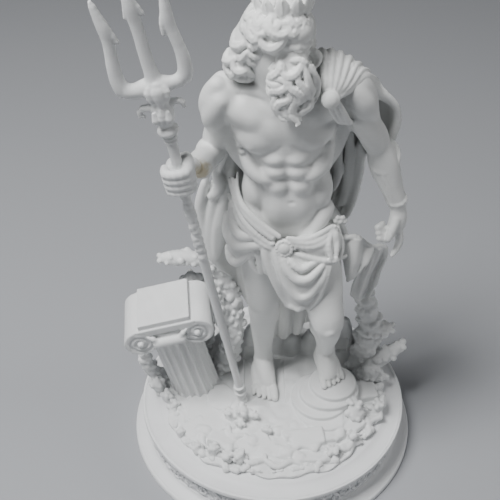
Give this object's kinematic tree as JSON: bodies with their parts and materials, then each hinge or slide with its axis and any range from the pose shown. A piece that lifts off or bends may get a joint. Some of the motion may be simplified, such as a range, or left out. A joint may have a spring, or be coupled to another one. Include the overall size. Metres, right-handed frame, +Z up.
{
  "type": "poseidon statue",
  "caption": "Desk statuette of a bearded sea god with crown, cloak and loincloth holding a trident, on a seabed with coral and a broken Ionic column, on a round moulded plinth.",
  "frame": {"origin": "centre of the plinth's underside", "axes": "+Z up, -Y to the front, the way the statue's toes point, +X to the viewer's right of one who faces it"},
  "size_m": [0.1417, 0.14, 0.2526],
  "materials": {
    "plinth": "light grey-white printed plastic, satin-matt, with fine layer lines",
    "seabed": "light grey-white printed plastic, matt, with fine layer lines",
    "figure": "light grey-white printed plastic, matt, with fine layer lines and a little yellowish glue at the right wrist",
    "trident_hand": "light grey-white printed plastic, matt, a little rough on the shaft"
  },
  "bodies": {
    "root": {"plinth": "plinth", "seabed": "seabed", "figure": "figure", "trident_hand": "trident_hand"}
  },
  "joints": []
}
